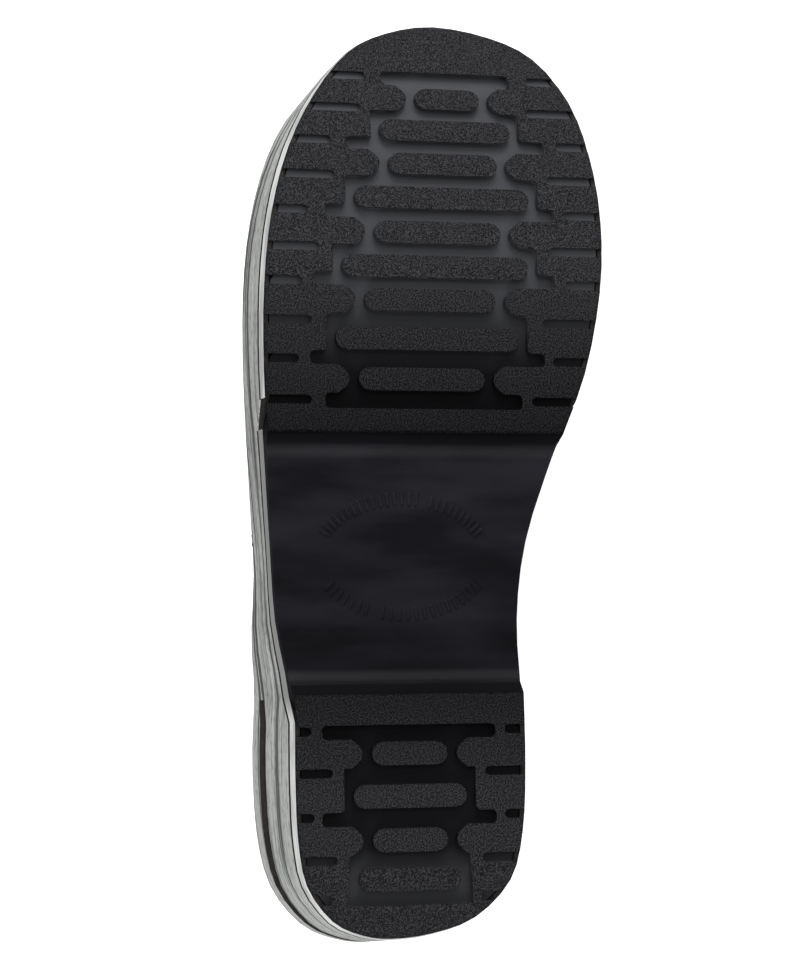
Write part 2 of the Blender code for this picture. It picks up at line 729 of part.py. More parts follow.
def lay_on_side(objects):
    """Turns the shoe onto its medial side, as it comes to rest, with its origin under its middle."""
    graph = bpy.context.evaluated_depsgraph_get()
    cloud = bmesh.new()
    volume, moment = 0.0, Vector((0, 0, 0))
    for obj in objects:
        mesh = bpy.data.meshes.new_from_object(obj.evaluated_get(graph))
        mesh.calc_loop_triangles()
        for triangle in mesh.loop_triangles:
            a, b, c = (mesh.vertices[k].co for k in triangle.vertices)
            piece = a.dot(b.cross(c)) / 6
            volume += piece
            moment += piece * (a + b + c) / 4
        for vert in mesh.vertices:
            cloud.verts.new(vert.co)
        bpy.data.meshes.remove(mesh)
    weight = moment / volume
    hull = bmesh.ops.convex_hull(cloud, input=cloud.verts[:])
    faces = [part for part in hull["geom"] if isinstance(part, bmesh.types.BMFace)]
    down, lowest = Vector((0, 1, 0)), math.inf
    for face in faces:
        corners = [vert.co for vert in face.verts]
        out = plane_normal(corners)
        if out.dot(corners[0] - weight) < 0:
            out.negate()
        height = out.dot(corners[0] - weight)
        foot = weight + out * height
        inside = True
        for k, corner in enumerate(corners):
            across = (corners[(k + 1) % len(corners)] - corner).cross(foot - corner)
            centre = (corners[(k + 1) % len(corners)] - corner).cross(
                sum(corners, Vector()) / len(corners) - corner
            )
            inside = inside and across.dot(centre) >= 0
        if inside and out.y > SIDEWAYS and out.z > ROLLED and height < lowest:
            down, lowest = out, height
    up = -down
    forward = (Vector((1, 0, 0)) - up * up.x).normalized()
    left = up.cross(forward)
    turn = Matrix((forward, left, up))
    laid = [turn @ vert.co for vert in cloud.verts]
    cloud.free()
    low = Vector([min(point[axis] for point in laid) for axis in range(3)])
    high = Vector([max(point[axis] for point in laid) for axis in range(3)])
    move = Vector((-(low.x + high.x) / 2, -(low.y + high.y) / 2, -low.z))
    rest = bpy.data.objects.new("shoe", None)
    bpy.context.collection.objects.link(rest)
    rest.matrix_world = Matrix.Translation(move) @ turn.to_4x4()
    for obj in objects:
        obj.parent = rest


def main():
    rubber = finish("black_rubber", (0.028, 0.028, 0.032), 0.6)
    foam = finish("grey_polyurethane", (0.30, 0.31, 0.29), 0.5)
    leather = finish("black_leather", (0.018, 0.018, 0.019), 0.42)
    lining = finish("dark_lining", (0.05, 0.048, 0.046), 0.85)
    pieces = [
        make_outsole(rubber),
        make_midsole(foam),
        make_insole(lining),
        make_upper(leather),
        make_collar(leather),
    ]
    lay_on_side(pieces)


main()
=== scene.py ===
"""A right closed-back work clog, lying on its medial side and seen from below."""

import math

import bmesh
import bpy
from mathutils import Matrix, Vector
from mathutils.bvhtree import BVHTree
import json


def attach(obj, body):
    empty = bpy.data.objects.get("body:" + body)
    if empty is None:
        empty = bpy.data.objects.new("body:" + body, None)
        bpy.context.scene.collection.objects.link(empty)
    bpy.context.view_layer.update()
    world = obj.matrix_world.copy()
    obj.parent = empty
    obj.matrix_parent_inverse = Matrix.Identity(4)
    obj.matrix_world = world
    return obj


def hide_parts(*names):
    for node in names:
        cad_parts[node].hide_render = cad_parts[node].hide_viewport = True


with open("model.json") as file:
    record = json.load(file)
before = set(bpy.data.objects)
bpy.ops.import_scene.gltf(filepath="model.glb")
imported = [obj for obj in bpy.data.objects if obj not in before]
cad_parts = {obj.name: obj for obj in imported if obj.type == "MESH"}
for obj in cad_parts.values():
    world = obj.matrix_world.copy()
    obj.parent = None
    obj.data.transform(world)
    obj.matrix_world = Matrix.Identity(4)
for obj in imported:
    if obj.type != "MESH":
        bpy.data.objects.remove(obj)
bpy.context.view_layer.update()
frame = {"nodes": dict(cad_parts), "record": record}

# How the shoe lies
# A shoemaker thinks of the shoe as it stands: x runs from the heel to the toe, +y is the
# medial side and z is up from the ground. The two rest faces of the tread say how that
# frame was turned when the shoe was laid down.
LENGTH = 0.274
HEEL_BAR = Vector((0.0408, 0.0, 0.0))
BALL_BAR = Vector((0.1745, 0.0077, 0.0))
rests = {mount["name"]: mount for mount in frame["record"]["mounts"]}
heel_rest, ball_rest = (Vector(rests[name]["pos_m"]) for name in ("heel_tread", "forefoot_tread"))
up = -Vector(rests["heel_tread"]["axis"]).normalized()
span = BALL_BAR - HEEL_BAR
toeward = Matrix.Rotation(-math.atan2(span.y, span.x), 3, up) @ (ball_rest - heel_rest).normalized()
medial = up.cross(toeward)
lie = Matrix((toeward, medial, up)).transposed().to_4x4()
lie.translation = heel_rest - toeward * HEEL_BAR.x
stand = lie.inverted()

# Camera
# It looks at the tread from the lateral side and a little from the heel, with the toe up.
VIEW_DISTANCE = 0.746
VIEW_AIM = Vector((0.130, -0.0016, 0.0))
VIEW_FROM_SIDE = math.radians(13.0)
VIEW_FROM_HEEL = math.radians(5.5)
VIEW_ROLL = math.radians(-1.0)
LENS = 93.9
look = Vector((
    math.sin(VIEW_FROM_HEEL),
    math.sin(VIEW_FROM_SIDE) * math.cos(VIEW_FROM_HEEL),
    math.cos(VIEW_FROM_SIDE) * math.cos(VIEW_FROM_HEEL),
))
level_right = Vector((0.0, look.z, -look.y)).normalized()
right = Matrix.Rotation(-VIEW_ROLL, 3, look) @ level_right
axes = Matrix((right, right.cross(look), -look)).transposed().to_4x4()
axes.translation = VIEW_AIM - look * VIEW_DISTANCE
camera = bpy.data.objects.new("camera", bpy.data.cameras.new("camera"))
camera.data.lens = LENS
camera.matrix_world = lie @ axes
bpy.context.collection.objects.link(camera)
bpy.context.scene.camera = camera

# Studio
# White paper that glows by itself, so that no shadow darkens it. A broad light hangs overhead and
# another stands in front, and two soft boxes lie along the shoe, the stronger one past the toe.
FLOOR_HALF = 6.0
bpy.context.scene.view_settings.view_transform = "Standard"
build = bmesh.new()
bmesh.ops.create_grid(build, x_segments=1, y_segments=1, size=FLOOR_HALF)
floor = bpy.data.objects.new("floor", bpy.data.meshes.new("floor"))
build.to_mesh(floor.data)
build.free()
bpy.context.collection.objects.link(floor)
floor.visible_glossy = False
paper = bpy.data.materials.new("studio_paper")
paper.use_nodes = True
paper_looks = {
    "Base Color": (0.5, 0.5, 0.5, 1),
    "Roughness": 0.95,
    "Specular IOR Level": 0.0,
    "Emission Color": (1, 1, 1, 1),
    "Emission Strength": 0.97,
}
for socket, value in paper_looks.items():
    paper.node_tree.nodes["Principled BSDF"].inputs[socket].default_value = value
floor.data.materials.append(paper)

world = bpy.data.worlds.new("studio")
bpy.context.scene.world = world
world.use_nodes = True
sky = world.node_tree.nodes["Background"]
sky.inputs["Color"].default_value = (0.95, 0.97, 1.0, 1)
sky.inputs["Strength"].default_value = 0.22


def lamp(name, kind, place, aim, strength, size):
    """A light of the studio, pointed at a place; size is an angle for a sun, else a width."""
    light = bpy.data.lights.new(name, kind)
    light.energy = strength
    if kind == "SUN":
        light.angle = size
    else:
        light.shape = "SQUARE"
        light.size = size
    obj = bpy.data.objects.new(name, light)
    facing = (Vector(aim) - Vector(place)).to_track_quat("-Z", "Y")
    obj.matrix_world = Matrix.Translation(place) @ facing.to_matrix().to_4x4()
    bpy.context.collection.objects.link(obj)


lamp("overhead", "SUN", (0.1, -0.4, 2.2), (0.0, 0.0, 0.0), 2.2, math.radians(40))
lamp("front", "SUN", (0.9, -2.2, 0.7), (0.0, 0.0, 0.0), 1.1, math.radians(25))
lamp("toe_box", "AREA", (0.85, -0.55, 0.25), (0.05, -0.05, 0.05), 11.0, 0.5)
lamp("heel_box", "AREA", (-0.85, -0.45, 0.25), (-0.1, -0.05, 0.05), 6.0, 0.4)

# Outsole
# One compression moulding of black rubber, glued under the midsole. Its lugs are pebbled, its
# channels are smooth, and the hollow under the arch has a satin skin. The channels' corners
# are round in plan, and every edge of the mould is a little soft.
WELD = 1e-5
FLAT_ANGLE = math.radians(1.2)
CRISP_ANGLE = math.radians(32)  # an edge sharper than this is shaded as an edge
UPRIGHT = 0.9  # the least share of an upright edge, or of a level face's normal, along z
DEEP = (0.0018, 0.0030)  # how far up in the tread its channels and slots have their floors
SLOT_AREA = 60e-6  # a floor smaller than this is a slot's
SLOT_RAISE = 0.0010
MOULD_ROUND = 0.0005
CORNER_ANGLE = math.radians(60)
CORNER_ROUND = 0.0014
NOSE_ANGLE = math.radians(14)
NOSE_FACET = 0.0012
NOSE_ROUND = 0.0005
TOE_SPRING = 0.0175
TOE_BREAK = 0.1841
HEEL_SPRING = 0.0025
HEEL_BREAK = 0.0249
WAIST_ENDS = (0.0735, 0.1435)
WAIST_MARGIN = 0.002


def copy_of(node):
    """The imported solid's mesh, welded into one skin and stood up."""
    build = bmesh.new()
    build.from_mesh(frame["nodes"][node].data)
    bmesh.ops.remove_doubles(build, verts=build.verts[:], dist=WELD)
    build.transform(stand)
    return build


def sharp_edges(build, angle):
    return [edge for edge in build.edges if edge.is_manifold and edge.calc_face_angle() > angle]


def shown(name, build, materials, node=None):
    """Lays a finished piece down, lets it stand for its solid and ride on the shoe."""
    mesh = bpy.data.meshes.new(name)
    for face in build.faces:
        face.smooth = True
    for edge in sharp_edges(build, CRISP_ANGLE):
        edge.smooth = False
    build.transform(lie)
    build.to_mesh(mesh)
    build.free()
    for material in materials:
        mesh.materials.append(material)
    piece = bpy.data.objects.new(name, mesh)
    bpy.context.collection.objects.link(piece)
    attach(piece, "root")
    if node:
        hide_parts(node)
    return piece


def tree_of(node):
    """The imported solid's skin, for measuring along rays."""
    build = copy_of(node)
    tree = BVHTree.FromBMesh(build)
    build.free()
    return tree


def fill_values(piece, name, value):
    """Gives each vertex a number that a material reads, worked out where the shoe stands."""
    layer = piece.data.attributes.new(name, "FLOAT", "POINT")
    layer.data.foreach_set("value", [value(stand @ vert.co) for vert in piece.data.vertices])


def tread_rise(x):
    """How far the tread's plane is off the ground at this place along the shoe."""
    toe = max(0.0, x - TOE_BREAK) / (LENGTH - TOE_BREAK)
    heel = max(0.0, HEEL_BREAK - x) / HEEL_BREAK
    return TOE_SPRING * toe**2 + HEEL_SPRING * heel**2


class Recipe:
    """A material's nodes, added one by one to its shader."""

    def __init__(self, name, colour, roughness, specular=0.5):
        self.material = bpy.data.materials.new(name)
        self.material.use_nodes = True
        self.tree = self.material.node_tree
        self.shader = self.tree.nodes["Principled BSDF"]
        self.shader.inputs["Base Color"].default_value = (*colour, 1)
        self.shader.inputs["Roughness"].default_value = roughness
        self.shader.inputs["Specular IOR Level"].default_value = specular

    def node(self, kind, **settings):
        """A node with its settings; a setting named as an input is that input's value or link."""
        made = self.tree.nodes.new("ShaderNode" + kind)
        for key, value in settings.items():
            if not key[0].isupper():
                setattr(made, key, value)
        for key, value in settings.items():
            if key[0].isupper():
                self.set(made.inputs[key.replace("_", " ")], value)
        return made

    def set(self, socket, value):
        if isinstance(value, bpy.types.NodeSocket):
            self.tree.links.new(value, socket)
        else:
            socket.default_value = value

    def into(self, name, value):
        """Feeds one of the shader's sockets."""
        self.set(self.shader.inputs[name], value)

    def place(self, stretch=(1, 1, 1)):
        """Object coordinates turned to the standing shoe, stretched."""
        spot = self.node("TexCoord").outputs["Object"]
        turn = stand.to_euler()
        stood = self.node("Mapping", Vector=spot, Location=stand.translation, Rotation=turn)
        return self.node("Mapping", Vector=stood.outputs[0], Scale=stretch).outputs[0]

    def noise(self, scale, stretch=(1, 1, 1), detail=2.0):
        spot = self.place(stretch)
        return self.node("TexNoise", Vector=spot, Scale=scale, Detail=detail).outputs["Fac"]

    def cells(self, scale):
        return self.node("TexVoronoi", Vector=self.place(), Scale=scale).outputs["Distance"]

    def value(self, attribute):
        return self.node("Attribute", attribute_name=attribute).outputs["Fac"]

    def steps(self, fac, *stops):
        """A ramp through (position, grey or colour) stops."""
        ramp = self.node("ValToRGB", Fac=fac)
        band = ramp.color_ramp
        while len(band.elements) < len(stops):
            band.elements.new(0.5)
        for element, (position, tone) in zip(band.elements, stops):
            element.position = position
            element.color = (*tone, 1) if hasattr(tone, "__len__") else (tone, tone, tone, 1)
        return ramp.outputs["Color"]

    def map(self, value, low, high, start=0.0, end=1.0):
        ranged = self.node("MapRange", Value=value)
        for index, number in zip((1, 2, 3, 4), (low, high, start, end)):
            ranged.inputs[index].default_value = number
        return ranged.outputs[0]

    def mix(self, fac, first, second, how="MIX"):
        made = self.node("Mix", data_type="RGBA", blend_type=how)
        for index, value in ((0, fac), (6, first), (7, second)):
            self.set(made.inputs[index], value)
        return made.outputs[2]

    def math(self, operation, first, second=0.0):
        made = self.node("Math", operation=operation)
        self.set(made.inputs[0], first)
        self.set(made.inputs[1], second)
        return made.outputs[0]

    def bump(self, height, distance, strength=1.0, under=None):
        made = self.node("Bump", Height=height, Distance=distance, Strength=strength)
        if under:
            self.set(made.inputs["Normal"], under)
        return made.outputs[0]


rubber = Recipe("black_rubber", (0.02, 0.02, 0.023), 0.6)
depth = rubber.value("tread_depth")
in_waist = rubber.value("waist")
top = rubber.map(depth, 0.0004, 0.0009, 1.0, 0.0)
pebble = rubber.noise(2300.0, detail=5.0)
cloud = rubber.noise(45.0, detail=3.0)
along = rubber.value("along")
# Painted shade and light along the shoe: a factor read off the place along it scales the rubber's colour
# and shine. It is darkest at the back of the hollow and across the rear of the forefoot, and lightest at
# the toe, standing in for how the soft boxes' light falls.
painted_shade_along = rubber.steps(
    along, (0.15, 0.8), (0.26, 0.42), (0.42, 0.66), (0.523, 0.72), (0.535, 0.36), (0.72, 0.92),
)
# Painted light: the channel floors are coloured lighter at the toe and at the back of the heel, where the
# soft boxes' light reaches them, and near black between.
painted_floor_light = rubber.steps(along, (0.07, 0.55), (0.095, 0.0), (0.60, 0.0), (0.70, 1.0))
top_colour = rubber.steps(pebble, (0.44, (0.001, 0.001, 0.001)), (0.60, (0.030, 0.030, 0.035)))
channel_colour = rubber.mix(painted_floor_light, (0.0055, 0.0055, 0.0065, 1), (0.040, 0.041, 0.045, 1))
# Painted shade: the shallower parts of the hollow under the arch, its end slopes above all, are coloured
# near black.
slope = rubber.math("MULTIPLY", in_waist, rubber.map(depth, 0.0032, 0.0040, 1.0, 0.0))
smears = rubber.noise(1.0, stretch=(90, 22, 30), detail=5.0)
skin_colour = rubber.steps(smears, (0.36, (0.0045, 0.0043, 0.0060)), (0.66, (0.0125, 0.0120, 0.0160)))
hollow_colour = rubber.mix(slope, skin_colour, (0.004, 0.004, 0.005, 1))
low_colour = rubber.mix(in_waist, channel_colour, hollow_colour)
shaded = rubber.mix(top, low_colour, top_colour)
rubber.into("Base Color", rubber.mix(1.0, shaded, painted_shade_along, "MULTIPLY"))
low_rough = rubber.mix(in_waist, (0.42, 0.42, 0.42, 1), (0.46, 0.46, 0.46, 1))
rough = rubber.mix(top, low_rough, (0.66, 0.66, 0.66, 1))
rubber.into("Roughness", rubber.math("ADD", rough, rubber.map(cloud, 0.3, 0.7, -0.06, 0.06)))
# Painted highlight: the shine is raised in a thin line along the foot of each end slope of the hollow,
# where a rounded edge would catch the light.
slope_foot = rubber.steps(
    rubber.map(depth, 0.0030, 0.0050), (0.44, 0.0), (0.50, 1.0), (0.54, 1.0), (0.60, 0.0)
)
low_shine = rubber.map(in_waist, 0.0, 1.0, 0.03, 0.07)
shine = rubber.math("MULTIPLY", rubber.mix(top, low_shine, (0.17, 0.17, 0.17, 1)), painted_shade_along)
edge_shine = rubber.math("MULTIPLY", rubber.math("MULTIPLY", slope_foot, in_waist), 0.18)
rubber.into("Specular IOR Level", rubber.math("ADD", shine, edge_shine))
grain_height = rubber.math("MULTIPLY", pebble, top)
softened = rubber.node("Bevel", samples=6, Radius=MOULD_ROUND).outputs[0]
skin = rubber.bump(rubber.noise(260.0, detail=2.0), 0.00006, 0.5, softened)
rubber.into("Normal", rubber.bump(grain_height, 0.0011, 1.0, skin))

build = copy_of("outsole")
bmesh.ops.dissolve_limit(build, angle_limit=FLAT_ANGLE, verts=build.verts[:], edges=build.edges[:])


def floor_of(face):
    """Whether this face is a floor between lugs."""
    middle = face.calc_center_median()
    return face.normal.z < -UPRIGHT and DEEP[0] < middle.z - tread_rise(middle.x) < DEEP[1]


def patch_round(face):
    """All the floor faces that join this one."""
    patch, to_look_round = {face}, [face]
    while to_look_round:
        for edge in to_look_round.pop().edges:
            for beside in edge.link_faces:
                if beside not in patch and floor_of(beside):
                    patch.add(beside)
                    to_look_round.append(beside)
    return patch


waiting = {face for face in build.faces if floor_of(face)}
while waiting:
    patch = patch_round(next(iter(waiting)))
    waiting -= patch
    if sum(face.calc_area() for face in patch) < SLOT_AREA:
        for vert in {vert for face in patch for vert in face.verts}:
            vert.co.z -= SLOT_RAISE


def upright(edge):
    run = edge.verts[1].co - edge.verts[0].co
    return abs(run.z) > UPRIGHT * run.length and edge.is_manifold


def wall_width(edge):
    """Width of the narrower wall beside an upright edge."""
    widths = []
    for face in edge.link_faces:
        beside = [own for own in face.edges if own is not edge and upright(own)]
        middle = (edge.verts[0].co + edge.verts[1].co) / 2
        gaps = [((own.verts[0].co + own.verts[1].co) / 2 - middle).length for own in beside]
        widths.append(min(gaps, default=0.0))
    return min(widths)


def round_off(over, under, least_wall, radius, segments, clamped):
    """Rounds the upright edges that turn by an angle in this range and have room beside them."""
    found = [edge for edge in build.edges if upright(edge) and over < edge.calc_face_angle() < under]
    bmesh.ops.bevel(
        build, geom=[edge for edge in found if wall_width(edge) > least_wall], affect="EDGES",
        offset=radius, offset_type="OFFSET", segments=segments, profile=0.5, material=-1,
        clamp_overlap=clamped,
    )


round_off(CORNER_ANGLE, math.inf, 2 * CORNER_ROUND, CORNER_ROUND, 4, False)
round_off(NOSE_ANGLE, CORNER_ANGLE, NOSE_FACET, NOSE_ROUND, 2, True)
bmesh.ops.triangulate(build, faces=build.faces[:])

# Marks of the mould in the hollow under the arch
# Two rows of short raised ticks, cut into the mould on an oval. They say nothing.
TICK_CENTRE = Vector((0.1105, 0.0))
TICK_RING = Vector((0.017, 0.0255))
TICK_ROWS = ((25, 155, 27, 10), (-150, -30, 22, 7))  # first and last degree, places, the bare one
TICK_LENGTH = 0.0036
TICK_WIDTH = 0.0008
TICK_PROUD = 0.0004
TICK_SUNK = 0.0004
UNDER_GROUND = -0.02
sole_tree = tree_of("outsole")
tick_size = Matrix.Diagonal((TICK_LENGTH, TICK_WIDTH, TICK_PROUD + TICK_SUNK, 1.0))
for first, last, places, bare in TICK_ROWS:
    for place in range(places):
        if place == bare:
            continue
        turn = math.radians(first + (last - first) * place / (places - 1))
        x = TICK_CENTRE.x + TICK_RING.x * math.sin(turn)
        y = TICK_CENTRE.y + TICK_RING.y * math.cos(turn)
        spot = sole_tree.ray_cast(Vector((x, y, UNDER_GROUND)), Vector((0, 0, 1)))[0]
        made = bmesh.ops.create_cube(build, size=1.0)
        heading = math.atan2(math.cos(turn) / TICK_RING.y, math.sin(turn) / TICK_RING.x)
        set_at = Matrix.Translation(spot + Vector((0, 0, (TICK_SUNK - TICK_PROUD) / 2)))
        turned = Matrix.Rotation(heading, 4, "Z")
        bmesh.ops.transform(build, verts=made["verts"], matrix=set_at @ turned @ tick_size)
outsole = shown("tread_moulding", build, [rubber.material], "outsole")


def in_hollow(spot):
    """1 under the arch, between the ends of the waist, else 0."""
    return float(WAIST_ENDS[0] - WAIST_MARGIN < spot.x < WAIST_ENDS[1] + WAIST_MARGIN)


fill_values(outsole, "tread_depth", lambda spot: spot.z - tread_rise(spot.x))
fill_values(outsole, "along", lambda spot: spot.x / LENGTH)
fill_values(outsole, "waist", in_hollow)

# Midsole
# One thick moulding of grey polyurethane, whose lip wraps the edge of the outsole. Its mould
# had fine lines like the edge grain of wood. The smooth rim carries a painted reflection, bright
# beside the tread, and painted shade lies in the groove over it and in the groove round the heel.
LIP_FOOT = 0.0011
BARE_FOOT = 0.0083
LIP_ENDS = (0.0686, 0.0626, 0.1484, 0.1544)
LIP_HEIGHT = 0.0050
RIM_BELOW = 0.0032  # the middles of the rim's faces lie lower than this over the foot line
GROOVE_BELOW = 0.0049
INSIDE_BELOW = LIP_HEIGHT + 0.004
SOLE_MIDDLE = (0.137, 0.008)
END_WEIGHT = 0.2  # the sole is long, so its ends count less than its sides for what lies inside
HEEL_GROOVE_SHARES = (0.570, 0.746)
HEEL_GROOVE_END = 0.0715
SEAT_STEP = 0.002
SEAT_ENDS = (0.004, LENGTH - 0.008)
SEAT_MIDDLE = 0.002
BEND_FROM = 0.2  # past this the seat's middle line bends to the big toe
BEND = 0.06
OVER_SEAT = 0.12
USUAL_SEAT = 0.043
JOIN_ANGLE = 0.7


def beside_tread(x):
    """1 where the lip wraps the outsole beside the tread, 0 beside the hollow."""
    rear_bare, rear_full, fore_bare, fore_full = LIP_ENDS
    share = max((rear_bare - x) / (rear_bare - rear_full), (x - fore_bare) / (fore_full - fore_bare))
    share = min(max(share, 0.0), 1.0)
    return share * share * (3 - 2 * share)


def foot_line(x):
    """Height of the lower edge of the midsole's side."""
    return BARE_FOOT + (LIP_FOOT - BARE_FOOT) * beside_tread(x) + tread_rise(x)


midsole_tree = tree_of("midsole")


def seat_height(x):
    """Height of the midsole's top, under the foot."""
    inside_x = min(max(x, SEAT_ENDS[0]), SEAT_ENDS[1])
    y = SEAT_MIDDLE + BEND * max(0.0, x - BEND_FROM)
    hit = midsole_tree.ray_cast(Vector((inside_x, y, OVER_SEAT)), Vector((0, 0, -1)))[0]
    return hit.z if hit else USUAL_SEAT


seats = [seat_height(SEAT_STEP * k) for k in range(round(LENGTH / SEAT_STEP) + 1)]


def wall_share(spot):
    """How far up the wall over the grooved lip a place is, from 0 to 1."""
    seat = seats[min(max(round(spot.x / SEAT_STEP), 0), len(seats) - 1)]
    base = foot_line(spot.x) + LIP_HEIGHT
    return (spot.z - base) / (seat - base)


def join_flat(build):
    """Joins the pairs of triangles that make one nearly flat face."""
    bmesh.ops.join_triangles(
        build, faces=build.faces[:], angle_face_threshold=JOIN_ANGLE, angle_shape_threshold=JOIN_ANGLE
    )


foam = Recipe("grey_polyurethane", (0.30, 0.31, 0.29), 0.5)
streaks = foam.noise(1.0, stretch=(7, 7, 420), detail=1.0)
hairs = foam.noise(1.0, stretch=(40, 40, 900), detail=2.0)
worn = foam.noise(28.0, detail=3.0)
band = foam.steps(
    streaks, (0.36, (0.07, 0.072, 0.068)), (0.41, (0.31, 0.32, 0.305)), (0.62, (0.39, 0.40, 0.38))
)
fine = foam.steps(hairs, (0.34, 0.45), (0.43, 0.92), (0.6, 1.0))
pores = foam.steps(foam.noise(1.0, stretch=(420, 420, 900)), (0.32, 0.62), (0.5, 1.0))
tinted = foam.mix(1.0, foam.mix(1.0, band, fine, "MULTIPLY"), pores, "MULTIPLY")
foam.into("Base Color", foam.mix(1.0, tinted, foam.steps(worn, (0.3, 0.86), (0.7, 1.0)), "MULTIPLY"))
foam.into("Roughness", foam.map(hairs, 0.3, 0.7, 0.62, 0.45))
foam.into("Normal", foam.bump(hairs, 0.0003, 0.5, foam.bump(streaks, 0.0006, 0.6)))

# Painted reflection: the lip's rim is coloured far brighter than the foam beside the tread, standing in
# for the light it reflects at a grazing angle, and darker beside the hollow under the arch.
rim_reflection = Recipe("rim_painted_reflection", (0.60, 0.61, 0.60), 0.38)
rim_streaks = rim_reflection.noise(1.0, stretch=(60, 60, 400), detail=3.0)
bright = rim_reflection.steps(rim_streaks, (0.35, (0.30, 0.31, 0.30)), (0.6, (0.52, 0.53, 0.52)))
rim_reflection.into("Base Color", rim_reflection.mix(rim_reflection.value("beside_tread"), (0.19, 0.193, 0.19, 1), bright))
rim_reflection.into("Normal", rim_reflection.bump(rim_streaks, 0.0001, 0.4))

# Painted shade: near black for the grooves and for the lip's faces that turn inward or down, where shade
# falls; the speckle only varies it.
groove_shade = Recipe("painted_groove_shade", (0.016, 0.014, 0.013), 0.75, 0.2)
spots = groove_shade.noise(700.0, detail=3.0)
groove_shade.into("Base Color", groove_shade.steps(spots, (0.35, (0.004, 0.0035, 0.003)), (0.7, (0.013, 0.011, 0.010))))
groove_shade.into("Normal", groove_shade.bump(spots, 0.0002, 0.5))

SKIN, REFLECTING_RIM, PAINTED_SHADE = range(3)
midsole_materials = [foam.material, rim_reflection.material, groove_shade.material]


def finish_of(face):
    """Which of the midsole's materials a face has."""
    middle = face.calc_center_median()
    over = middle.z - foot_line(middle.x)
    if face.normal.z > UPRIGHT:
        return SKIN
    ends_out = face.normal.x * (middle.x - SOLE_MIDDLE[0]) * END_WEIGHT
    inside = ends_out + face.normal.y * (middle.y - SOLE_MIDDLE[1]) < 0
    # The lip's downward faces and its low inward faces, the groove over the rim and the heel's groove get
    # the painted shade; the rim gets the painted reflection.
    if face.normal.z < -UPRIGHT or (inside and over < INSIDE_BELOW):
        return PAINTED_SHADE
    if over < RIM_BELOW:
        return REFLECTING_RIM
    if over < GROOVE_BELOW:
        return PAINTED_SHADE
    if middle.x < HEEL_GROOVE_END and HEEL_GROOVE_SHARES[0] < wall_share(middle) < HEEL_GROOVE_SHARES[1]:
        return PAINTED_SHADE
    return SKIN


build = copy_of("midsole")
join_flat(build)
for face in build.faces:
    face.material_index = finish_of(face)
midsole = shown("midsole_moulding", build, midsole_materials, "midsole")
fill_values(midsole, "beside_tread", lambda spot: beside_tread(spot.x))

# Upper
# Black leather, padded and lined, pulled down to the midsole's ledge. The vamp laps over the
# quarters, and walking has pressed three soft folds across it where the toes bend.
ROUND_LEVELS = 2
KEEP_ANGLE = math.radians(66)
KEPT = 0.8
CORE = Vector((0.0, 0.006, 0.030))
CORE_ENDS = (0.045, 0.225)
FOLDS = ((0.1650, 0.0011, 0.0036), (0.1770, 0.0016, 0.0040), (0.1915, 0.0009, 0.0046))
FOLD_BOW = 2.4
FOLD_LOW, FOLD_FULL = 0.014, 0.034
RIDGE_SHARE = 0.45
RIDGE_BACK = 1.7


def rounded(build, keep_angle):
    """The same skin, subdivided to a smooth one that keeps the edges sharper than an angle."""
    join_flat(build)
    keep = build.edges.layers.float.new("crease_edge")
    for edge in sharp_edges(build, keep_angle):
        edge[keep] = KEPT
    cage_mesh = bpy.data.meshes.new("cage")
    build.to_mesh(cage_mesh)
    build.free()
    cage = bpy.data.objects.new("cage", cage_mesh)
    bpy.context.collection.objects.link(cage)
    smoothing = cage.modifiers.new("round", "SUBSURF")
    smoothing.levels = smoothing.render_levels = ROUND_LEVELS
    graph = bpy.context.evaluated_depsgraph_get()
    smooth_mesh = bpy.data.meshes.new_from_object(cage.evaluated_get(graph))
    fine = bmesh.new()
    fine.from_mesh(smooth_mesh)
    bpy.data.objects.remove(cage)
    for mesh in (cage_mesh, smooth_mesh):
        bpy.data.meshes.remove(mesh)
    return fine


def core_of(spot):
    """The middle of the shoe's inside, at this place along it; the round ends share one each."""
    x = min(max(spot.x, CORE_ENDS[0]), CORE_ENDS[1])
    return Vector((x, CORE.y, seat_height(x) + CORE.z))


def fold_depth(spot):
    """How far the folds press the vamp in here: troughs, each with a low ridge on its heel side."""
    rise = spot.z - seat_height(spot.x)
    part = min(max((rise - FOLD_LOW) / (FOLD_FULL - FOLD_LOW), 0.0), 1.0)
    pressed = 0.0
    for x, deep, width in FOLDS:
        away = (spot.x - x + FOLD_BOW * (spot.y - CORE.y) ** 2) / width
        pressed += deep * (math.exp(-away**2) - RIDGE_SHARE * math.exp(-((away + RIDGE_BACK) ** 2)))
    return pressed * part


leather = Recipe("black_leather", (0.012, 0.012, 0.013), 0.42)
grain = leather.cells(1100.0)
pull = leather.noise(60.0, detail=4.0)
fine_grain = leather.noise(2600.0, detail=3.0)
wear = leather.noise(14.0, detail=5.0)
hide = leather.steps(wear, (0.35, (0.010, 0.010, 0.011)), (0.75, (0.022, 0.021, 0.021)))
leather.into("Base Color", hide)
leather.into("Roughness", leather.map(wear, 0.3, 0.75, 0.36, 0.55))
leather.into("Coat Weight", 0.12)
leather.into("Coat Roughness", 0.3)
wrinkled = leather.bump(fine_grain, 0.0002, 0.4, leather.bump(pull, 0.0012, 0.25))
leather.into("Normal", leather.bump(grain, 0.0003, 0.35, wrinkled))

lining = Recipe("dark_lining", (0.045, 0.043, 0.041), 0.9, 0.2)
nap = lining.noise(1700.0, detail=4.0)
cloth = lining.steps(nap, (0.35, (0.024, 0.023, 0.022)), (0.65, (0.062, 0.060, 0.057)))
lining.into("Base Color", cloth)
lining.into("Sheen Weight", 0.35)
lining.into("Normal", lining.bump(nap, 0.0005, 0.7))

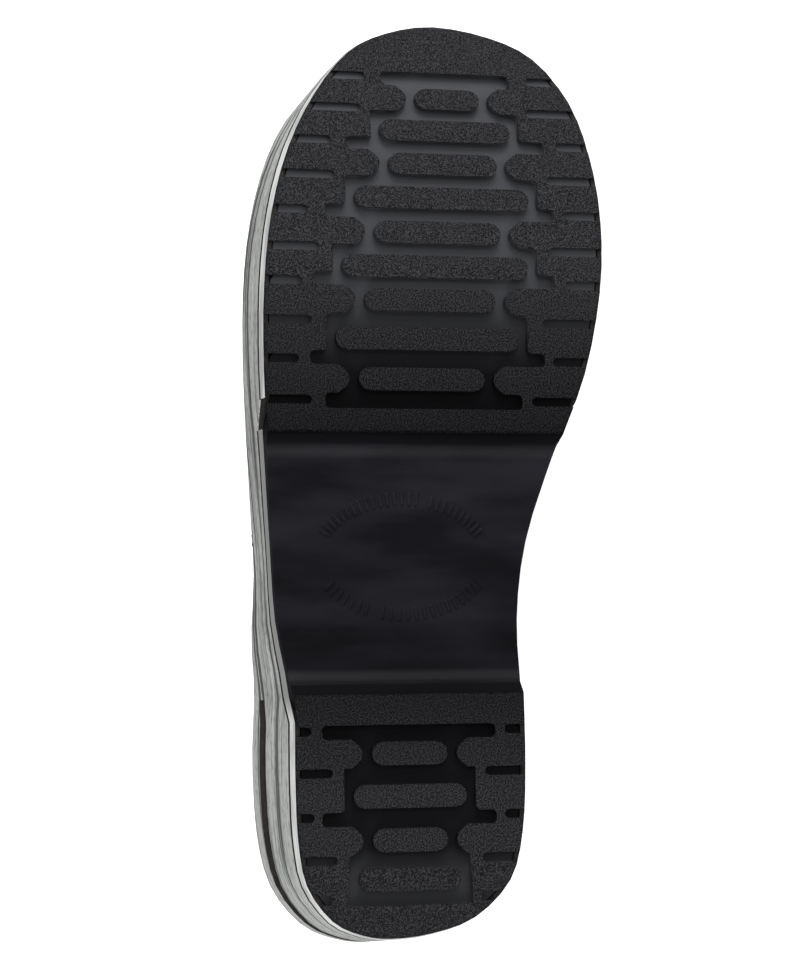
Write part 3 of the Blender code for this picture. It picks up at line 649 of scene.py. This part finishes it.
build = rounded(copy_of("upper"), KEEP_ANGLE)
for vert in build.verts:
    pressed = fold_depth(vert.co)
    if pressed:
        vert.co += (core_of(vert.co) - vert.co).normalized() * pressed
build.normal_update()
for face in build.faces:
    middle = face.calc_center_median()
    face.material_index = int(face.normal.dot(core_of(middle) - middle) > 0)
leather_tree = BVHTree.FromBMesh(build)
shown("upper_leather", build, [leather.material, lining.material], "upper")

# Stitches
# Black waxed thread: two rows hold the vamp's lapped edge down on the quarters, and one row
# runs under the collar. Each stitch sits in the leather with its back just proud.
SEAM_FOOT = 0.1110
SEAM_SLANT = 0.184
SEAM_ROWS = (0.0030, 0.0056)
SEAM_ARC = (-38, 218)  # degrees round the core, from one side's foot to the other's
SEAM_STEPS = 240
SEAM_TRIES = 3
OVER_LEDGE = 0.003
STITCH = Vector((0.0013, 0.00032, 0.00026))
STITCH_SIDES = 7
STITCH_RINGS = 4
STITCH_PITCH = 0.0034
UNDER_ROLL = 0.0045
ABOVE_MOUTH = Vector((0.074, 0.0, 0.125))
ROLL_STEPS = 300
DROPS = 240
DROP = Vector((0.0, 0.0, 0.0003))
FAR = 0.3  # the rays start this far out, clear of the shoe
NO_LENGTH = 1e-6


def seam_path(beside):
    """Points up one side of the seam, over the ridge and down the other, with the normals."""
    found = []
    for step in range(SEAM_STEPS + 1):
        turn = math.radians(SEAM_ARC[0] + (SEAM_ARC[1] - SEAM_ARC[0]) * step / SEAM_STEPS)
        out = Vector((0.0, math.cos(turn), math.sin(turn)))
        x = SEAM_FOOT + beside
        for _ in range(SEAM_TRIES):
            core = Vector((x, CORE.y, seat_height(x) + CORE.z))
            spot, face_up = leather_tree.ray_cast(core + out * FAR, -out)[:2]
            if not spot:
                break
            x = SEAM_FOOT + beside + SEAM_SLANT * (spot.z - core.z + CORE.z)
        if spot and spot.z > seat_height(x) + OVER_LEDGE:
            found.append((spot, face_up))
    return found


def roll_path():
    """Points on the leather a little below the collar, all round the mouth."""
    found = []
    for step in range(ROLL_STEPS):
        turn = math.tau * step / ROLL_STEPS
        out = Vector((math.cos(turn), math.sin(turn), 0.0))
        for drop in range(DROPS):
            start = ABOVE_MOUTH + out * FAR - DROP * drop
            roll = roll_tree.ray_cast(start, -out)[3]
            skin = leather_tree.ray_cast(start, -out)[3]
            if skin is not None and (roll is None or skin < roll):
                low = start - Vector((0.0, 0.0, UNDER_ROLL))
                found.append(leather_tree.ray_cast(low, -out)[:2])
                break
    return found


def sew(build, path):
    """Lays stitches along a path at an even pitch."""
    since = 0.0
    for (before, _), (spot, face_up) in zip(path, path[1:]):
        step = spot - before
        since += step.length
        if since < STITCH_PITCH or step.length < NO_LENGTH:
            continue
        since = 0.0
        forward = (step - face_up * step.dot(face_up)).normalized()
        across = face_up.cross(forward)
        seat_in = Matrix((forward, across, face_up)).transposed().to_4x4()
        seat_in.translation = spot
        made = bmesh.ops.create_uvsphere(
            build, u_segments=STITCH_SIDES, v_segments=STITCH_RINGS, radius=1.0
        )
        bmesh.ops.transform(build, verts=made["verts"], matrix=seat_in @ Matrix.Diagonal((*STITCH, 1.0)))


thread = Recipe("black_thread", (0.020, 0.020, 0.021), 0.55)
thread.into("Normal", thread.bump(thread.noise(4000.0), 0.0001, 0.5))
roll_tree = tree_of("collar")
build = bmesh.new()
for beside in SEAM_ROWS:
    sew(build, seam_path(beside))
sew(build, roll_path())
shown("stitches", build, [thread.material])

# Collar
# A roll of soft leather over foam, turned over the mouth's edge and sewn all round it. The
# leather is gathered in short creases that run across the roll.
gathered = Recipe("collar_leather", (0.013, 0.013, 0.014), 0.46)
gathers = gathered.noise(1.0, stretch=(230, 230, 60), detail=2.0)
roll_grain = gathered.cells(1300.0)
gathered.into("Roughness", gathered.map(gathers, 0.3, 0.7, 0.4, 0.56))
gathered.into("Normal", gathered.bump(roll_grain, 0.0002, 0.3, gathered.bump(gathers, 0.0009, 0.45)))
build = rounded(copy_of("collar"), math.pi)
collar = shown("collar_roll", build, [gathered.material], "collar")

# Insole
# A foam bed covered with brushed cloth and pricked with small holes, dished under the foot.
bed = Recipe("insole_cloth", (0.05, 0.048, 0.046), 0.92, 0.15)
weave = bed.noise(2100.0, detail=3.0)
holes = bed.map(bed.cells(210.0), 0.10, 0.16)
cover = bed.steps(weave, (0.35, (0.030, 0.029, 0.028)), (0.65, (0.070, 0.067, 0.064)))
bed.into("Base Color", bed.mix(holes, (0.006, 0.006, 0.006, 1), cover))
bed.into("Sheen Weight", 0.3)
bed.into("Normal", bed.bump(holes, 0.0006, 0.8, bed.bump(weave, 0.0003, 0.6)))
build = copy_of("insole")
insole = shown("insole_bed", build, [bed.material], "insole")

import json
